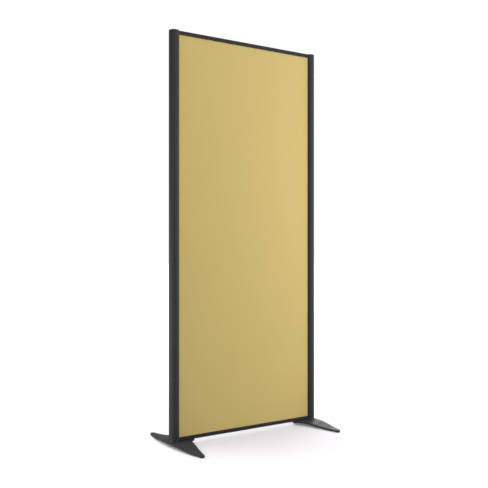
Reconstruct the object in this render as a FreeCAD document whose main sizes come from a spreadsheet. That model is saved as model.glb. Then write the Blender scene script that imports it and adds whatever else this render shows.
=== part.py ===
import FreeCAD, Part
import math
import os

import Sketcher

# Free-standing floor screen: two round posts, two rails, an upholstered panel held between them,
# and a three-pointed arched blade foot under each post.
#
# Frame: origin on the floor at the centre of the screen, X along the panel, +Y to the rear, +Z up.
# Pieces that belong to one post are drawn in that post's own frame: x points inboard, y to the
# rear, and the post's axis is x = y = 0. The right-hand pieces are the left-hand ones turned half
# a turn about Z.

# ------------------------------------------------------------------ driving dimensions
# Millimetres, and degrees for the two angles.
DRIVING_DIMENSIONS = (
    ("overall_height", 1800.0),
    ("post_spacing", 755.0),
    # post extrusion and its end caps
    ("post_diameter", 45.0),
    ("post_wall", 2.0),
    ("channel_width", 18.4),
    ("channel_depth", 9.0),
    ("channel_web", 1.8),
    ("rib_thickness", 1.8),
    ("port_boss_diameter", 12.4),
    ("top_cap_height", 3.0),
    ("base_cap_height", 6.0),
    ("shadow_gap_height", 1.0),
    ("shadow_gap_depth", 0.9),
    ("cap_edge_radius", 1.0),
    ("peg_length", 16.0),
    ("outer_peg_diameter", 12.6),
    ("outer_peg_offset", 9.4),
    ("inner_peg_diameter", 6.0),
    ("inner_peg_across", 4.2),
    ("inner_peg_offset", 12.0),
    # rails
    ("rail_width", 26.0),
    ("rail_height", 16.0),
    ("rail_wall", 2.0),
    ("rail_chamber", 4.0),
    ("rail_web", 1.6),
    ("rail_lip", 2.0),
    ("rail_corner_radius", 1.0),
    ("rail_below_cap", 1.0),
    # corner brackets
    ("bracket_width", 18.0),
    ("bracket_thickness", 3.6),
    ("bracket_leg", 60.0),
    ("bracket_clearance", 0.1),
    ("bracket_bend_radius", 2.0),
    ("bracket_screw_offset", 4.5),
    ("bracket_screw_low", 25.0),
    ("bracket_screw_pitch", 20.0),
    ("rail_screw_reach", 50.0),
    # panel
    ("post_grip", 5.0),
    ("top_grip", 6.4),
    ("panel_thickness", 18.0),
    ("cover_thickness", 1.0),
    ("board_thickness", 3.0),
    ("batten_width", 30.0),
    # feet
    ("foot_thickness", 8.0),
    ("foot_rise", 9.5),
    ("foot_slope", 5.3),
    ("slope_centre", 118.0),
    ("foot_bend_radius", 500.0),
    ("tip_reach", 218.0),
    ("tip_inset", 10.0),
    ("tip_radius", 11.0),
    ("apex_reach", 90.0),
    ("apex_radius", 11.0),
    ("outer_edge_radius", 894.0),
    ("flank_angle", 14.6),
    ("flank_radius", 72.0),
    ("foot_edge_radius", 1.2),
    ("gasket_thickness", 1.5),
    ("gasket_inset", 1.0),
    ("gasket_tongue_width", 15.0),
    # levelling glides
    ("glide_diameter", 20.0),
    ("glide_height", 2.5),
    ("glide_chamfer", 0.7),
    ("glide_stud_diameter", 6.0),
    ("glide_stud_length", 6.0),
    ("glide_stud_clearance", 0.05),
    ("glide_head_diameter", 10.0),
    ("glide_head_height", 1.2),
    # fasteners
    ("post_bolt_diameter", 8.0),
    ("post_bolt_length", 40.0),
    ("post_bolt_head", 14.0),
    ("post_bolt_head_height", 4.4),
    ("post_bolt_socket", 5.0),
    ("post_washer_diameter", 22.0),
    ("post_washer_thickness", 1.6),
    ("rail_bolt_diameter", 6.0),
    ("rail_bolt_length", 16.0),
    ("rail_bolt_head", 10.5),
    ("rail_bolt_head_height", 3.3),
    ("rail_bolt_socket", 4.0),
    ("rail_washer_diameter", 14.0),
    ("rail_washer_thickness", 1.2),
    ("rail_nut_width", 10.0),
    ("rail_nut_height", 3.2),
    ("bolt_clearance", 0.5),
    ("bracket_screw_diameter", 4.0),
    ("bracket_screw_head", 7.4),
    ("bracket_screw_length", 6.2),
    ("rail_screw_length", 5.6),
    ("screw_clearance", 0.1),
    ("thread_end_chamfer", 0.7),
)

SIDES = (("left", -1), ("right", 1))
FOOT_ENDS = (("front", -1), ("rear", 1))
RAIL_ENDS = (("bottom", 1), ("top", -1))

# Points of a sketch's geometry, as the Sketcher numbers them
START = 1
END = 2
CENTRE = 3
SKETCH_X_AXIS = -1
SKETCH_Y_AXIS = -2

Z_AXIS = FreeCAD.Vector(0, 0, 1)
X_AXIS = FreeCAD.Vector(1, 0, 0)
FULL_TURN = 360.0
HALF_TURN = 180.0
TINY = 1e-9
NEAR = 1e-6
UPRIGHT = 0.1
LEVEL = 0.9
COUNTERSINK_ANGLE = 90.0

# Proportions of the screws' heads
BOLT_CROWN_WIDTH = 0.7
BOLT_CROWN_START = 0.5
BOLT_SOCKET_DEPTH = 0.6
SCREW_SOCKET_WIDTH = 0.7
SCREW_SOCKET_DEPTH = 0.8

doc = FreeCAD.newDocument("floor_screen")


# ------------------------------------------------------------------ sizes bound to the sheet
class Size:
    """A number together with the spreadsheet expression that gives it."""

    def __init__(self, value, text):
        self.value = value
        self.text = text

    def __add__(self, other):
        other = as_size(other)
        return Size(self.value + other.value, f"({self.text} + {other.text})")

    def __radd__(self, other):
        return as_size(other) + self

    def __sub__(self, other):
        other = as_size(other)
        return Size(self.value - other.value, f"({self.text} - {other.text})")

    def __rsub__(self, other):
        return as_size(other) - self

    def __mul__(self, other):
        other = as_size(other)
        return Size(self.value * other.value, f"({self.text} * {other.text})")

    def __rmul__(self, other):
        return as_size(other) * self

    def __truediv__(self, other):
        other = as_size(other)
        return Size(self.value / other.value, f"({self.text} / {other.text})")

    def __neg__(self):
        return self * -1


def as_size(number):
    """The number itself if it is a Size, or else a Size that doesn't depend on the sheet."""
    if isinstance(number, Size):
        return number
    return Size(float(number), f"({float(number)})")


def root(size):
    """Square root."""
    return Size(math.sqrt(size.value), f"sqrt({size.text})")


def tangent(angle):
    """Tangent of a Size that holds degrees."""
    return Size(math.tan(math.radians(angle.value)), f"tan({angle.text})")


def cosine(angle):
    """Cosine of a Size that holds degrees."""
    return Size(math.cos(math.radians(angle.value)), f"cos({angle.text})")


def write_sheet(driving):
    """Put the driving dimensions in a spreadsheet and return them as sizes, by name."""
    sheet = doc.addObject("Spreadsheet::Sheet", "dims")
    sizes = {}
    for row, (name, value) in enumerate(driving, start=1):
        sheet.set(f"A{row}", name)
        sheet.set(f"B{row}", str(value))
        sheet.setAlias(f"B{row}", name)
        sizes[name] = Size(value, f"dims.{name}")
    doc.recompute()
    return sizes


d = write_sheet(DRIVING_DIMENSIONS)

# ------------------------------------------------------------------ derived sizes
# Across a post
post_radius = d["post_diameter"] / 2
flat_reach = root(post_radius * post_radius - d["rail_width"] * d["rail_width"] / 4)
channel_floor = flat_reach - d["channel_depth"]
channel_back = channel_floor - d["channel_web"]
post_x = d["post_spacing"] / 2

# Heights above the floor
foot_under = d["glide_height"] + d["foot_rise"]
foot_top = foot_under + d["foot_thickness"]
frame_base = foot_top + d["gasket_thickness"]
post_base = frame_base + d["base_cap_height"] + d["shadow_gap_height"]
post_top = d["overall_height"] - d["top_cap_height"]
rail_top = d["overall_height"] - d["rail_below_cap"]

# Inside a rail, measured from its outer face
chamber_floor = d["rail_wall"]
mouth_floor = chamber_floor + d["rail_chamber"] + d["rail_web"]
rail_length = d["post_spacing"] - flat_reach * 2

# Corner bracket, in the post's frame, heights from the rail's outer face
bracket_back = channel_floor + d["bracket_clearance"]
bracket_face = bracket_back + d["bracket_thickness"]
tongue_base = chamber_floor + (d["rail_chamber"] - d["bracket_thickness"]) / 2
tongue_top = tongue_base + d["bracket_thickness"]
tongue_end = bracket_back + d["bracket_leg"]
screw_seat = d["bracket_screw_head"] + d["screw_clearance"] * 2

# Panel
panel_edge = post_x - flat_reach + d["post_grip"]
panel_base = frame_base + mouth_floor
panel_top = rail_top - d["rail_height"] + d["top_grip"]
panel_height = panel_top - panel_base
half_panel = d["panel_thickness"] / 2
core_half = half_panel - d["cover_thickness"] - d["board_thickness"]


# ------------------------------------------------------------------ placing
def place(piece, side_sign, height, flip=False):
    """Move a piece from a post's frame to the screen's frame, and bind its place to the sheet.

    flip turns it upside down, for the pieces at the top rail.
    """
    turn = FreeCAD.Rotation(Z_AXIS, HALF_TURN if side_sign > 0 else 0)
    if flip:
        turn = turn.multiply(FreeCAD.Rotation(X_AXIS, HALF_TURN))
    piece.Placement = FreeCAD.Placement(FreeCAD.Vector(0, 0, 0), turn)
    piece.setExpression("Placement.Base.x", (post_x * side_sign).text)
    piece.setExpression("Placement.Base.z", as_size(height).text)


def place_box(box, x, y, z):
    """Bind the low corner of a box to the sheet."""
    box.setExpression("Placement.Base.x", as_size(x).text)
    box.setExpression("Placement.Base.y", as_size(y).text)
    box.setExpression("Placement.Base.z", as_size(z).text)


# ------------------------------------------------------------------ sketches
def new_body(label):
    body = doc.addObject("PartDesign::Body", label)
    body.Label = label
    return body


def new_sketch(body, name, role, offset=None):
    """Sketch on one of the body's own origin planes, or parallel to it at an offset."""
    plane = next(f for f in body.Origin.OriginFeatures if f.Role == role)
    sketch = body.newObject("Sketcher::SketchObject", name)
    sketch.AttachmentSupport = [(plane, "")]
    sketch.MapMode = "FlatFace"
    if offset is not None:
        sketch.setExpression("AttachmentOffset.Base.z", offset.text)
    return sketch


def constrain(sketch, size, *arguments):
    """Add a constraint whose value follows the sheet."""
    index = sketch.addConstraint(Sketcher.Constraint(*arguments, size.value))
    sketch.setExpression(f"Constraints[{index}]", size.text)


def hold(sketch, geometry, point, x, y):
    """Hold a point of the sketch at (x, y)."""
    for kind, size, axis in (("DistanceX", x, SKETCH_Y_AXIS), ("DistanceY", y, SKETCH_X_AXIS)):
        if abs(size.value) < TINY:
            sketch.addConstraint(Sketcher.Constraint("PointOnObject", geometry, point, axis))
        else:
            constrain(sketch, size, kind, SKETCH_X_AXIS, START, geometry, point)


def flat_point(x, y):
    return FreeCAD.Vector(x.value, y.value, 0)


def polygon(sketch, corners):
    """Closed outline of straight sides through (x, y) corners."""
    corners = [(as_size(x), as_size(y)) for x, y in corners]
    first = sketch.GeometryCount
    for start, end in zip(corners, corners[1:] + corners[:1]):
        sketch.addGeometry(Part.LineSegment(flat_point(*start), flat_point(*end)))
    last = first + len(corners) - 1
    for line in range(first, last + 1):
        following = first if line == last else line + 1
        sketch.addConstraint(Sketcher.Constraint("Coincident", line, END, following, START))
    for line, (x, y) in enumerate(corners, start=first):
        hold(sketch, line, START, x, y)


def rectangle(sketch, low_x, high_x, low_y, high_y):
    polygon(sketch, [(low_x, low_y), (high_x, low_y), (high_x, high_y), (low_x, high_y)])


def circle(sketch, x, y, diameter):
    x = as_size(x)
    y = as_size(y)
    index = sketch.addGeometry(Part.Circle(flat_point(x, y), Z_AXIS, diameter.value / 2))
    hold(sketch, index, CENTRE, x, y)
    constrain(sketch, diameter, "Diameter", index)


def flatted_disc(sketch, diameter, flat_width):
    """Circle about the origin with one flat side that faces +x."""
    radius = diameter.value / 2
    half_flat = flat_width.value / 2
    reach = math.sqrt(radius ** 2 - half_flat ** 2)
    corner = math.atan2(half_flat, reach)
    rim = Part.Circle(FreeCAD.Vector(0, 0, 0), Z_AXIS, radius)
    arc = sketch.addGeometry(Part.ArcOfCircle(rim, corner, 2 * math.pi - corner))
    low = FreeCAD.Vector(reach, -half_flat, 0)
    high = FreeCAD.Vector(reach, half_flat, 0)
    line = sketch.addGeometry(Part.LineSegment(low, high))
    sketch.addConstraint(Sketcher.Constraint("Coincident", arc, CENTRE, SKETCH_X_AXIS, START))
    sketch.addConstraint(Sketcher.Constraint("Coincident", arc, END, line, START))
    sketch.addConstraint(Sketcher.Constraint("Coincident", line, END, arc, START))
    sketch.addConstraint(Sketcher.Constraint("Vertical", line))
    constrain(sketch, diameter, "Diameter", arc)
    constrain(sketch, flat_width, "DistanceY", line, START, line, END)


# ------------------------------------------------------------------ features
def pad(body, name, sketch, length, symmetric=False):
    """Add the sketch, drawn out along its normal."""
    feature = body.newObject("PartDesign::Pad", name)
    feature.Profile = sketch
    feature.SideType = "Symmetric" if symmetric else "One side"
    feature.setExpression("Length", as_size(length).text)
    doc.recompute()
    return feature


def pocket(body, name, sketch, depth=None, reverse=False):
    """Cut the sketch out of the body: to a depth along its normal, or right through both ways.

    reverse cuts along the normal, where a plain pocket cuts against it.
    """
    volume_before = body.Tip.Shape.Volume
    feature = body.newObject("PartDesign::Pocket", name)
    feature.Profile = sketch
    if depth is None:
        feature.Type = "ThroughAll"
        feature.SideType = "Symmetric"
    else:
        feature.setExpression("Length", as_size(depth).text)
        feature.Reversed = reverse
    doc.recompute()
    if feature.Shape.Volume >= volume_before:
        raise RuntimeError(f"{body.Label}: {name} cuts nothing")
    return feature


def fillet(body, name, radius, wanted):
    """Round the edges of the body's latest feature that pass the test `wanted`."""
    base = body.Tip
    edges = [f"Edge{i}" for i, edge in enumerate(base.Shape.Edges, start=1) if wanted(base.Shape, edge)]
    feature = body.newObject("PartDesign::Fillet", name)
    feature.Base = (base, edges)
    feature.setExpression("Radius", radius.text)
    doc.recompute()
    return feature


def revolve(body, name, sketch):
    """Turn the sketch about its own vertical axis."""
    feature = body.newObject("PartDesign::Revolution", name)
    feature.Profile = sketch
    feature.ReferenceAxis = (sketch, ["V_Axis"])
    feature.Angle = FULL_TURN
    doc.recompute()
    return feature


def countersunk_holes(body, name, sketch, diameter, head_diameter, depth, reverse=False):
    """Countersunk holes at the circles of the sketch, opening on the sketch's side."""
    volume_before = body.Tip.Shape.Volume
    doc.recompute()
    feature = body.newObject("PartDesign::Hole", name)
    feature.Profile = sketch
    feature.DepthType = "Dimension"
    feature.DrillPoint = "Flat"
    feature.Reversed = reverse
    feature.setExpression("Depth", depth.text)
    feature.HoleCutType = "Countersink"
    feature.HoleCutCustomValues = True
    feature.setExpression("Diameter", diameter.text)
    feature.setExpression("HoleCutDiameter", head_diameter.text)
    feature.HoleCutCountersinkAngle = COUNTERSINK_ANGLE
    doc.recompute()
    if feature.Shape.Volume >= volume_before:
        raise RuntimeError(f"{body.Label}: {name} cuts nothing")
    return feature


def runs_along(edge, axis):
    """True for a straight edge parallel to the axis."""
    if not isinstance(edge.Curve, Part.Line):
        return False
    return abs(abs(edge.Curve.Direction.dot(axis)) - 1) < TINY


def lies_at_height(edge, height):
    box = edge.BoundBox
    return abs(box.ZMin - height) < NEAR and abs(box.ZMax - height) < NEAR


# ------------------------------------------------------------------ posts and their caps
def post(side, sign):
    """Round extrusion with an inboard flat, a channel for the panel and a central screw port."""
    body = new_body(f"{side}_post")
    length = post_top - post_base

    outline = new_sketch(body, "outline", "XY_Plane")
    flatted_disc(outline, d["post_diameter"], d["rail_width"])
    pad(body, "extrusion", outline, length)

    bore = new_sketch(body, "bore", "XY_Plane")
    circle(bore, 0, 0, d["post_diameter"] - d["post_wall"] * 2)
    pocket(body, "hollow", bore)

    block = new_sketch(body, "channel_block", "XY_Plane")
    half_flat = d["rail_width"] / 2
    rectangle(block, channel_back, flat_reach, -half_flat, half_flat)
    pad(body, "channel_walls", block, length)

    inside = post_radius - d["post_wall"] / 2
    half_rib = d["rib_thickness"] / 2
    cross_rib = new_sketch(body, "cross_rib_outline", "XY_Plane")
    rectangle(cross_rib, -half_rib, half_rib, -inside, inside)
    pad(body, "cross_rib", cross_rib, length)
    long_rib = new_sketch(body, "long_rib_outline", "XY_Plane")
    rectangle(long_rib, -inside, channel_back + d["channel_web"] / 2, -half_rib, half_rib)
    pad(body, "long_rib", long_rib, length)

    boss = new_sketch(body, "boss_outline", "XY_Plane")
    circle(boss, 0, 0, d["port_boss_diameter"])
    pad(body, "screw_boss", boss, length)

    channel = new_sketch(body, "channel_outline", "XY_Plane")
    half_channel = d["channel_width"] / 2
    rectangle(channel, channel_floor, flat_reach + d["post_wall"], -half_channel, half_channel)
    pocket(body, "panel_channel", channel)
    port = new_sketch(body, "port_outline", "XY_Plane")
    circle(port, 0, 0, d["post_bolt_diameter"] + d["screw_clearance"])
    pocket(body, "screw_port", port)

    # Holes in the channel's floor for the corner brackets' screws, at both ends of the post
    tapped = new_sketch(body, "bracket_holes_outline", "YZ_Plane", offset=channel_floor)
    hole = d["bracket_screw_diameter"] + d["screw_clearance"]
    for end_sign, rail_face in ((1, frame_base), (-1, rail_top)):
        for across, height in leg_screw_places():
            circle(tapped, across * end_sign, rail_face - post_base + height * end_sign, hole)
    pocket(body, "bracket_holes", tapped, depth=d["channel_web"] + d["screw_clearance"])

    place(body, sign, post_base)
    return body


def cap_pegs(body, length, offset):
    """Four round pegs that plug into the chambers of the post, starting at a height."""
    pegs = new_sketch(body, "peg_outline", "XY_Plane", offset=offset)
    for y_sign in (-1, 1):
        circle(pegs, -d["outer_peg_offset"], d["outer_peg_offset"] * y_sign, d["outer_peg_diameter"])
        circle(pegs, d["inner_peg_across"], d["inner_peg_offset"] * y_sign, d["inner_peg_diameter"])
    pad(body, "pegs", pegs, length)


def top_cap(side, sign):
    """Flat lid with the post's own outline, rounded along its top edge."""
    body = new_body(f"{side}_top_cap")
    lid = new_sketch(body, "lid_outline", "XY_Plane", offset=d["peg_length"])
    flatted_disc(lid, d["post_diameter"], d["rail_width"])
    pad(body, "lid", lid, d["top_cap_height"])
    top = (d["peg_length"] + d["top_cap_height"]).value
    fillet(body, "rounded_edge", d["cap_edge_radius"], lambda shape, edge: lies_at_height(edge, top))
    cap_pegs(body, d["peg_length"], as_size(0))
    place(body, sign, post_top - d["peg_length"])
    return body


def base_cap(side, sign):
    """Collar under the post, with a shadow gap above it and a notch for the corner bracket."""
    body = new_body(f"{side}_base_cap")
    collar_top = d["base_cap_height"]
    neck_top = collar_top + d["shadow_gap_height"]

    collar = new_sketch(body, "collar_outline", "XY_Plane")
    flatted_disc(collar, d["post_diameter"], d["rail_width"])
    pad(body, "collar", collar, collar_top)
    neck = new_sketch(body, "neck_outline", "XY_Plane", offset=collar_top)
    flatted_disc(neck, d["post_diameter"] - d["shadow_gap_depth"] * 2, d["rail_width"])
    pad(body, "neck", neck, d["shadow_gap_height"])
    cap_pegs(body, d["peg_length"], neck_top)

    notch = new_sketch(body, "notch_outline", "XY_Plane", offset=neck_top)
    half_channel = d["channel_width"] / 2
    rectangle(notch, channel_floor, flat_reach + d["post_wall"], -half_channel, half_channel)
    pocket(body, "bracket_notch", notch, depth=neck_top - chamber_floor)
    hole = new_sketch(body, "bolt_hole_outline", "XY_Plane")
    circle(hole, 0, 0, d["post_bolt_diameter"] + d["bolt_clearance"])
    pocket(body, "bolt_hole", hole)

    place(body, sign, frame_base)
    return body


# ------------------------------------------------------------------ rails and corner brackets
def rail(label, flip, foot_holes):
    """Channel extrusion: a flat chamber for the brackets, and a lipped mouth for the panel."""
    body = new_body(label)
    half_width = d["rail_width"] / 2
    half_inside = half_width - d["rail_wall"]
    half_mouth = d["channel_width"] / 2
    lip_base = d["rail_height"] - d["rail_lip"]

    outline = new_sketch(body, "outline", "YZ_Plane")
    rectangle(outline, -half_width, half_width, as_size(0), d["rail_height"])
    pad(body, "extrusion", outline, rail_length, symmetric=True)
    fillet(body, "rounded_corners", d["rail_corner_radius"], lambda shape, edge: runs_along(edge, X_AXIS))

    chamber = new_sketch(body, "chamber_outline", "YZ_Plane")
    rectangle(chamber, -half_inside, half_inside, chamber_floor, chamber_floor + d["rail_chamber"])
    pocket(body, "chamber", chamber)
    mouth = new_sketch(body, "mouth_outline", "YZ_Plane")
    polygon(mouth, [
        (-half_inside, mouth_floor),
        (half_inside, mouth_floor),
        (half_inside, lip_base),
        (half_mouth, lip_base),
        (half_mouth, d["rail_height"] + d["rail_wall"]),
        (-half_mouth, d["rail_height"] + d["rail_wall"]),
        (-half_mouth, lip_base),
        (-half_inside, lip_base),
    ])
    pocket(body, "panel_mouth", mouth)

    screws = new_sketch(body, "screw_holes_outline", "XY_Plane")
    for x_sign in (-1, 1):
        hole = d["bracket_screw_diameter"] + d["screw_clearance"]
        circle(screws, (post_x - d["rail_screw_reach"]) * x_sign, 0, hole)
    seat_depth = chamber_floor + d["rail_chamber"] / 2
    countersunk_holes(body, "screw_holes", screws, hole, screw_seat, depth=seat_depth, reverse=True)

    if foot_holes:
        bolts = new_sketch(body, "foot_holes_outline", "XY_Plane")
        for x_sign in (-1, 1):
            bolt_x = (post_x - d["apex_reach"]) * x_sign
            circle(bolts, bolt_x, 0, d["rail_bolt_diameter"] + d["bolt_clearance"])
        pocket(body, "foot_holes", bolts, depth=chamber_floor, reverse=True)

    if flip:
        body.Placement = FreeCAD.Placement(FreeCAD.Vector(0, 0, 0), FreeCAD.Rotation(X_AXIS, HALF_TURN))
    body.setExpression("Placement.Base.z", (rail_top if flip else frame_base).text)
    return body


def leg_screw_places():
    """Where the two screws go through a bracket's leg: (across, height from the rail's outer face)."""
    low = d["bracket_screw_low"]
    across = d["bracket_screw_offset"]
    return [(across, low), (-across, low + d["bracket_screw_pitch"])]


def bracket(side, sign, rail_name, end_sign):
    """L-shaped corner bracket: a leg in the post's channel and a tongue in the rail's chamber."""
    body = new_body(f"{rail_name}_{side}_bracket")
    outline = new_sketch(body, "outline", "XZ_Plane")
    leg_end = tongue_base + d["bracket_leg"]
    polygon(outline, [
        (bracket_back, tongue_base),
        (tongue_end, tongue_base),
        (tongue_end, tongue_top),
        (bracket_face, tongue_top),
        (bracket_face, leg_end),
        (bracket_back, leg_end),
    ])
    pad(body, "bar", outline, d["bracket_width"], symmetric=True)

    bend_x = bracket_back.value
    bend_z = tongue_base.value

    def is_outer_bend(shape, edge):
        middle = edge.CenterOfMass
        return abs(middle.x - bend_x) < TINY and abs(middle.z - bend_z) < TINY

    fillet(body, "outer_bend", d["bracket_bend_radius"], is_outer_bend)

    leg_holes = new_sketch(body, "leg_holes_outline", "YZ_Plane", offset=bracket_face)
    hole = d["bracket_screw_diameter"] + d["screw_clearance"]
    for across, height in leg_screw_places():
        circle(leg_holes, across, height, hole)
    countersunk_holes(body, "leg_holes", leg_holes, hole, screw_seat, depth=d["bracket_leg"] / 2)

    tongue_hole = new_sketch(body, "tongue_hole_outline", "XY_Plane")
    circle(tongue_hole, d["rail_screw_reach"], 0, hole)
    pocket(body, "tongue_hole", tongue_hole, depth=tongue_top + d["screw_clearance"], reverse=True)

    flip = end_sign < 0
    place(body, sign, rail_top if flip else frame_base, flip)
    return body


# ------------------------------------------------------------------ panel
def box(name, label, length, width, height, corner):
    piece = doc.addObject("Part::Box", name)
    piece.Label = label
    piece.setExpression("Length", as_size(length).text)
    piece.setExpression("Width", as_size(width).text)
    piece.setExpression("Height", as_size(height).text)
    place_box(piece, *corner)
    return piece


def cover(label, y_sign):
    """Upholstery fabric over one face of the panel, turned round its edges to the middle."""
    skin = d["cover_thickness"]
    outer_y = as_size(0) if y_sign > 0 else -half_panel
    inner_y = as_size(0) if y_sign > 0 else skin - half_panel
    outer = box(f"{label}_outer", f"{label}_outer", panel_edge * 2, half_panel, panel_height,
                (-panel_edge, outer_y, panel_base))
    inner = box(f"{label}_inner", f"{label}_inner", panel_edge * 2 - skin * 2, half_panel - skin,
                panel_height - skin * 2, (skin - panel_edge, inner_y, panel_base + skin))
    piece = doc.addObject("Part::Cut", label)
    piece.Label = label
    piece.Base = outer
    piece.Tool = inner
    return piece


def panel():
    """Two covered hardboards on a timber frame, with an absorbent core inside the frame."""
    skin = d["cover_thickness"]
    edge = panel_edge - skin
    low = panel_base + skin
    height = panel_height - skin * 2
    board = d["board_thickness"]
    batten = d["batten_width"]
    depth = core_half * 2
    inner_edge = edge - batten
    pieces = [cover("front_cover", -1), cover("rear_cover", 1)]
    for name, y in (("front_board", -core_half - board), ("rear_board", core_half)):
        pieces.append(box(name, name, edge * 2, board, height, (-edge, y, low)))
    for name, x in (("left_batten", -edge), ("right_batten", inner_edge)):
        pieces.append(box(name, name, batten, depth, height, (x, -core_half, low)))
    for name, z in (("bottom_batten", low), ("top_batten", low + height - batten)):
        pieces.append(box(name, name, inner_edge * 2, depth, batten, (-inner_edge, -core_half, z)))
    pieces.append(box("absorbent_core", "absorbent_core", inner_edge * 2, depth, height - batten * 2,
                      (-inner_edge, -core_half, low + batten)))
    return pieces


# ------------------------------------------------------------------ feet
def short_arc(centre, start, end):
    """The shorter way round from start to end about a centre."""
    middle = (start - centre) + (end - centre)
    middle.normalize()
    radius = start.distanceToPoint(centre)
    return Part.ArcOfCircle(start, centre + middle * radius, end)


def meeting_ends(sketch, first, second):
    """Which end of each of two pieces of an outline is the shared one."""
    for first_end in (START, END):
        for second_end in (START, END):
            here = sketch.getPoint(first, first_end)
            if here.distanceToPoint(sketch.getPoint(second, second_end)) < NEAR:
                return first_end, second_end
    raise RuntimeError(f"{sketch.Label}: pieces {first} and {second} don't meet")


def smooth_path(sketch, pieces, closed=False):
    """Add pieces of an outline, each one tangent to the next."""
    indices = [sketch.addGeometry(piece) for piece in pieces]
    following = indices[1:] + indices[:1] if closed else indices[1:]
    ends = [meeting_ends(sketch, first, second) for first, second in zip(indices, following)]
    for first, second, (first_end, second_end) in zip(indices, following, ends):
        sketch.addConstraint(Sketcher.Constraint("Tangent", first, first_end, second, second_end))
    return indices


def bent_face(sketch, lift):
    """Level under the post, sloping down, and level again at the tips; front to rear."""
    half_run = d["foot_rise"] / tangent(d["foot_slope"]) / 2
    setback = d["foot_bend_radius"] * tangent(d["foot_slope"] / 2)
    high_end = d["slope_centre"] - half_run - setback
    low_start = d["slope_centre"] + half_run + setback
    plate_end = d["tip_reach"] + d["tip_radius"] * 2
    high = foot_under + lift
    low = d["glide_height"] + lift
    slope = math.radians(d["foot_slope"].value)
    radius = d["foot_bend_radius"].value

    def half(y_sign):
        """Level tip, lower bend, slope and upper bend of one arm, and its level end's points."""
        tip_end = flat_point(plate_end * y_sign, low)
        bend_start = flat_point(low_start * y_sign, low)
        bend_end = flat_point(high_end * y_sign, high)
        lower_centre = bend_start + FreeCAD.Vector(0, radius, 0)
        upper_centre = bend_end - FreeCAD.Vector(0, radius, 0)
        across = FreeCAD.Vector(y_sign * math.sin(slope), math.cos(slope), 0) * radius
        slope_low = lower_centre - across
        slope_high = upper_centre + across
        return bend_end, [
            Part.LineSegment(tip_end, bend_start),
            short_arc(lower_centre, bend_start, slope_low),
            Part.LineSegment(slope_low, slope_high),
            short_arc(upper_centre, slope_high, bend_end),
        ]

    front_level, front_arm = half(-1)
    rear_level, rear_arm = half(1)
    level = Part.LineSegment(front_level, rear_level)
    pieces = smooth_path(sketch, front_arm + [level] + rear_arm[::-1])
    front_tip, front_low, _, front_high, middle, rear_high, _, rear_low, rear_tip = pieces
    for arc in (front_low, front_high, rear_high, rear_low):
        constrain(sketch, d["foot_bend_radius"], "Radius", arc)
    for line in (front_tip, middle, rear_tip):
        sketch.addConstraint(Sketcher.Constraint("Horizontal", line))
    hold(sketch, middle, START, -high_end, high)
    constrain(sketch, high_end, "DistanceX", SKETCH_X_AXIS, START, middle, END)
    for tip_line, y_sign in ((front_tip, -1), (rear_tip, 1)):
        hold(sketch, tip_line, START, plate_end * y_sign, low)
        constrain(sketch, low_start * y_sign, "DistanceX", SKETCH_X_AXIS, START, tip_line, END)
    return front_tip, rear_tip


def arched_profile(sketch):
    """Side view of the bent plate, closed at both ends."""
    under = bent_face(sketch, as_size(0))
    over = bent_face(sketch, d["foot_thickness"])
    for low, high in zip(under, over):
        low_end = sketch.getPoint(low, START)
        end_line = sketch.addGeometry(Part.LineSegment(low_end, sketch.getPoint(high, START)))
        sketch.addConstraint(Sketcher.Constraint("Coincident", end_line, START, low, START))
        sketch.addConstraint(Sketcher.Constraint("Coincident", end_line, END, high, START))


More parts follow.
